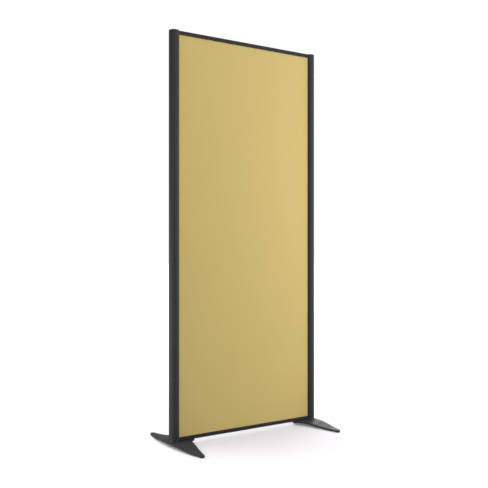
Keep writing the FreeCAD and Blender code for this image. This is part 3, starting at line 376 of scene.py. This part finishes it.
def make_materials():
    """One material for each slot of the record, and the ones that LEVEL_MATERIALS names."""
    early_wood = (0.66, 0.48, 0.27, 1.0)
    late_wood = (0.42, 0.24, 0.10, 1.0)
    return {
        "frame_coat": powder_coat("post_coat", (0.0187, 0.019, 0.020, 1.0), 0.6, 0.15, 0.25),
        # The same coat as on the posts, made darker for the level rails as painted shade.
        "shaded_rail_coat": powder_coat("shaded_rail_coat", (0.0122, 0.0124, 0.013, 1.0), 0.6, 0.15, 0.25),
        "foot_coat": powder_coat("foot_coat", (0.025, 0.0258, 0.0274, 1.0), 0.55, 0.11, 0.5),
        "cap_plastic": moulded_plastic("cap_plastic", (0.014, 0.0142, 0.015, 1.0), 0.5, 0.4 * MM),
        "black_rubber": soft_rubber("black_rubber", (0.012, 0.012, 0.012, 1.0)),
        "glide_plastic": moulded_plastic(
            "glide_plastic", (0.010, 0.010, 0.0105, 1.0), 0.55, 0.6 * MM
        ),
        "black_zinc": zinc_plate("black_zinc", (0.05, 0.05, 0.055, 1.0), 0.38),
        "plain_zinc": zinc_plate("plain_zinc", (0.56, 0.58, 0.62, 1.0), 0.3),
        "bracket_aluminium": mill_aluminium("bracket_aluminium", (0.76, 0.77, 0.79, 1.0)),
        "mustard_cloth": woven_cloth("mustard_cloth", (0.407, 0.309, 0.109, 1.0)),
        "felt_core": needled_felt("felt_core", (0.16, 0.16, 0.17, 1.0)),
        "hardboard": pressed_board("hardboard", (0.20, 0.11, 0.055, 1.0)),
        "pine": pine("pine_upright", early_wood, late_wood, 2),
        "pine_level": pine("pine_level", early_wood, late_wood, 0),
    }


def finish_cad_nodes(materials):
    """Gives every CAD node its material, by the slot that the record names and how it lies."""
    for name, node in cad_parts.items():
        low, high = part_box(name)
        lies_level = high.x - low.x > high.z - low.z
        for holder in node.material_slots:
            slot = holder.material.name.split(".")[0]
            if lies_level:
                slot = LEVEL_MATERIALS.get(slot, slot)
            holder.material = materials[slot]


# ---------------------------------------------------------------- cloth covers

def turned_edge(radius, depth):
    """Points (outward, backward) along the cloth where it turns round the board: an arc, then
    straight back."""
    arc = []
    for step in range(1, CLOTH_ARC_STEPS + 1):
        angle = math.radians(90) * step / CLOTH_ARC_STEPS
        arc.append((radius * math.sin(angle), radius * (1 - math.cos(angle))))
    return arc + [(radius, (radius + depth) / 2), (radius, depth)]


def cover_surface(low, high, front):
    """Vertices and faces of one cover's middle surface: a flat grid, then rings round its turned
    edge. front is -1 for the cover that faces -Y and 1 for the other."""
    inset = CLOTH_EDGE_RADIUS + CLOTH_THICKNESS / 2
    left, right = low.x + inset, high.x - inset
    bottom, top = low.z + inset, high.z - inset
    face = max(abs(low.y), abs(high.y)) - CLOTH_THICKNESS / 2
    columns = round((right - left) / CLOTH_CELL)
    rows = round((top - bottom) / CLOTH_CELL)
    vertices = []
    for j in range(rows + 1):
        for i in range(columns + 1):
            x = left + (right - left) * i / columns
            z = bottom + (top - bottom) * j / rows
            vertices.append((x, front * face, z))

    def at(i, j):
        return j * (columns + 1) + i

    faces = [
        (at(i, j), at(i + 1, j), at(i + 1, j + 1), at(i, j + 1))
        for j in range(rows)
        for i in range(columns)
    ]
    border = [at(i, 0) for i in range(columns)]
    border += [at(columns, j) for j in range(rows)]
    border += [at(i, rows) for i in range(columns, 0, -1)]
    border += [at(0, j) for j in range(rows, 0, -1)]
    ring = border
    for outward, backward in turned_edge(CLOTH_EDGE_RADIUS, face - CLOTH_MEETING_GAP):
        start = len(vertices)
        for index in border:
            x, _, z = vertices[index]
            side = (x >= right) - (x <= left)
            level = (z >= top) - (z <= bottom)
            vertices.append((x + side * outward, front * (face - backward), z + level * outward))
        outer = list(range(start, len(vertices)))
        for k in range(len(border)):
            after = (k + 1) % len(border)
            faces.append((ring[k], outer[k], outer[after], ring[after]))
        ring = outer
    if front > 0:
        faces = [tuple(reversed(corners)) for corners in faces]
    return vertices, faces


def crown(cover, opening_low, opening_high, front):
    """Lets the cloth swell a little between the frame's lips, as it does over the felt pressed
    behind it. The form of the swell comes from a cloth simulation whose edge is held, and its
    height is CLOTH_CROWN."""
    mesh = cover.data
    held = cover.vertex_groups.new(name="held")
    inside = []
    for vertex in mesh.vertices:
        x, _, z = vertex.co
        if opening_low.x < x < opening_high.x and opening_low.z < z < opening_high.z:
            inside.append(vertex.index)
        else:
            held.add([vertex.index], 1.0, "REPLACE")
    cloth = cover.modifiers.new("swell", "CLOTH")
    settings = cloth.settings
    settings.vertex_group_mass = held.name
    settings.quality = SWELL_QUALITY
    settings.mass = SWELL_MASS
    settings.tension_stiffness = SWELL_STRETCH_STIFFNESS
    settings.compression_stiffness = SWELL_STRETCH_STIFFNESS
    settings.bending_stiffness = SWELL_BENDING_STIFFNESS
    settings.use_pressure = True
    settings.uniform_pressure_force = SWELL_PRESSURE
    settings.effector_weights.gravity = 0.0
    cloth.point_cache.frame_start = 1
    cloth.point_cache.frame_end = SWELL_FRAMES
    scene = bpy.context.scene
    for step in range(1, SWELL_FRAMES + 1):
        scene.frame_set(step)
    settled = cover.evaluated_get(bpy.context.evaluated_depsgraph_get()).to_mesh()
    heights = {
        index: max(0.0, front * (settled.vertices[index].co.y - mesh.vertices[index].co.y))
        for index in inside
    }
    highest = max(heights.values())
    for index, height in heights.items():
        mesh.vertices[index].co.y += front * CLOTH_CROWN * height / highest
    cover.modifiers.remove(cloth)
    cover.vertex_groups.remove(held)
    scene.frame_set(1)


def make_cover(node, front, material):
    """One cloth cover, stretched over its board and turned round the edge."""
    low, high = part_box(node)
    vertices, faces = cover_surface(low, high, front)
    mesh = bpy.data.meshes.new(node + "_cloth")
    mesh.from_pydata(vertices, [], faces)
    mesh.update()
    cover = bpy.data.objects.new(node + "_cloth", mesh)
    bpy.context.scene.collection.objects.link(cover)
    opening_low = Vector((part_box("left_post")[1].x, 0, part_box("bottom_rail")[1].z))
    opening_high = Vector((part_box("right_post")[0].x, 0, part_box("top_rail")[0].z))
    crown(cover, opening_low, opening_high, front)
    for polygon in mesh.polygons:
        polygon.use_smooth = True
    mesh.materials.append(material)
    solid = cover.modifiers.new("thickness", "SOLIDIFY")
    solid.thickness = CLOTH_THICKNESS
    solid.offset = 0.0
    # Past each edge the cloth runs on by the cover's depth, less what its rounded corner saves.
    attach(cover, "frame")
    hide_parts(node)
    return cover


# ---------------------------------------------------------------- studio

def make_plane(name, height, material):
    """A wide level plane that belongs to the studio."""
    corners = [
        (side_x * STUDIO_RADIUS, side_y * STUDIO_RADIUS, height)
        for side_x, side_y in ((-1, -1), (1, -1), (1, 1), (-1, 1))
    ]
    mesh = bpy.data.meshes.new(name)
    mesh.from_pydata(corners, [], [(0, 1, 2, 3)])
    mesh.materials.append(material)
    plane = bpy.data.objects.new(name, mesh)
    bpy.context.scene.collection.objects.link(plane)
    return plane


def plain_matt(name, colour):
    """An even, matt surface for the studio."""
    return Graph(name, Base_Color=colour, Roughness=0.9, Specular_IOR_Level=0.0).material


def make_floor():
    """A plain floor in two sheets. The camera sees the upper one, a cool grey that the washes
    light up to white. The screen gets its reflected light from the lower one, which is white."""
    white = plain_matt("floor_white", (0.86, 0.86, 0.86, 1.0))
    cool = plain_matt("floor_cool_white", (0.31, 0.30, 0.315, 1.0))
    seen = make_plane("floor", 0.0, cool)
    seen.visible_diffuse = False
    seen.visible_glossy = False
    reflecting = make_plane("floor_reflector", -REFLECTOR_DROP, white)
    reflecting.visible_camera = False
    return seen


def make_backdrop():
    """A white surround that only the camera sees."""
    glow = bpy.data.materials.new("backdrop_white")
    glow.use_nodes = True
    tree = glow.node_tree
    tree.nodes.clear()
    emission = tree.nodes.new("ShaderNodeEmission")
    emission.inputs["Strength"].default_value = BACKDROP_STRENGTH
    output = tree.nodes.new("ShaderNodeOutputMaterial")
    tree.links.new(emission.outputs[0], output.inputs["Surface"])
    mesh = bpy.data.meshes.new("backdrop")
    ball = bmesh.new()
    bmesh.ops.create_icosphere(ball, subdivisions=3, radius=STUDIO_RADIUS)
    ball.to_mesh(mesh)
    ball.free()
    mesh.materials.append(glow)
    backdrop = bpy.data.objects.new("backdrop", mesh)
    bpy.context.scene.collection.objects.link(backdrop)
    backdrop.visible_diffuse = False
    backdrop.visible_glossy = False
    backdrop.visible_shadow = False


def softbox(name, place, target, width, height, power, receivers):
    """A rectangular soft light at a place, aimed at a target."""
    data = bpy.data.lights.new(name, "AREA")
    data.shape = "RECTANGLE"
    data.size = width
    data.size_y = height
    data.energy = power
    light = bpy.data.objects.new(name, data)
    light.location = place
    light.rotation_euler = (Vector(target) - Vector(place)).to_track_quat("-Z", "Y").to_euler()
    light.visible_camera = False
    light.light_linking.receiver_collection = receivers
    bpy.context.scene.collection.objects.link(light)


def light_group(name, thing, state):
    """A light-linking group that holds one object, which a light then includes or leaves out."""
    group = bpy.data.collections.new(name)
    group.objects.link(thing)
    group.collection_objects[0].light_linking.link_state = state
    return group


def floor_wash(name, energy, angle, lean_back, receivers):
    """A broad light from above, leaning to the rear, for the floor. Angles are in degrees."""
    wash = bpy.data.objects.new(name, bpy.data.lights.new(name, "SUN"))
    wash.data.energy = energy
    wash.data.angle = math.radians(angle)
    wash.rotation_euler = (math.radians(-lean_back), 0.0, 0.0)
    wash.light_linking.receiver_collection = receivers
    bpy.context.scene.collection.objects.link(wash)
    return wash


def make_surround():
    """An even white surround, shown without a film-like tone curve."""
    world = bpy.data.worlds.new("studio")
    world.use_nodes = True
    background = world.node_tree.nodes["Background"]
    background.inputs["Color"].default_value = (1.0, 1.0, 1.0, 1.0)
    background.inputs["Strength"].default_value = SURROUND_STRENGTH
    bpy.context.scene.world = world
    bpy.context.scene.view_settings.view_transform = "Standard"


def make_light(floor, rear_cover):
    """Soft boxes on all sides, and two washes for the floor. The box behind the screen lights
    only the rear cover, so that it is about as bright as the front one."""
    all_but_floor = light_group("all_but_floor", floor, "EXCLUDE")
    for name, (place, target, width, height, power) in SOFTBOXES.items():
        softbox(name, place, target, width, height, power, all_but_floor)
    only_rear_cover = light_group("only_rear_cover", rear_cover, "INCLUDE")
    softbox("back", *BACK_SOFTBOX, only_rear_cover)
    only_floor = light_group("only_floor", floor, "INCLUDE")
    floor_wash("overhead_wash", energy=2.7, angle=90, lean_back=50, receivers=only_floor)
    shadowless = floor_wash(
        "shadowless_wash", energy=9.2, angle=170, lean_back=0, receivers=only_floor
    )
    shadowless.data.use_shadow = False


make_camera()
materials = make_materials()
finish_cad_nodes(materials)
make_cover("front_cover", -1, materials["mustard_cloth"])
rear_cover = make_cover("rear_cover", 1, materials["mustard_cloth"])
floor = make_floor()
make_backdrop()
make_surround()
make_light(floor, rear_cover)
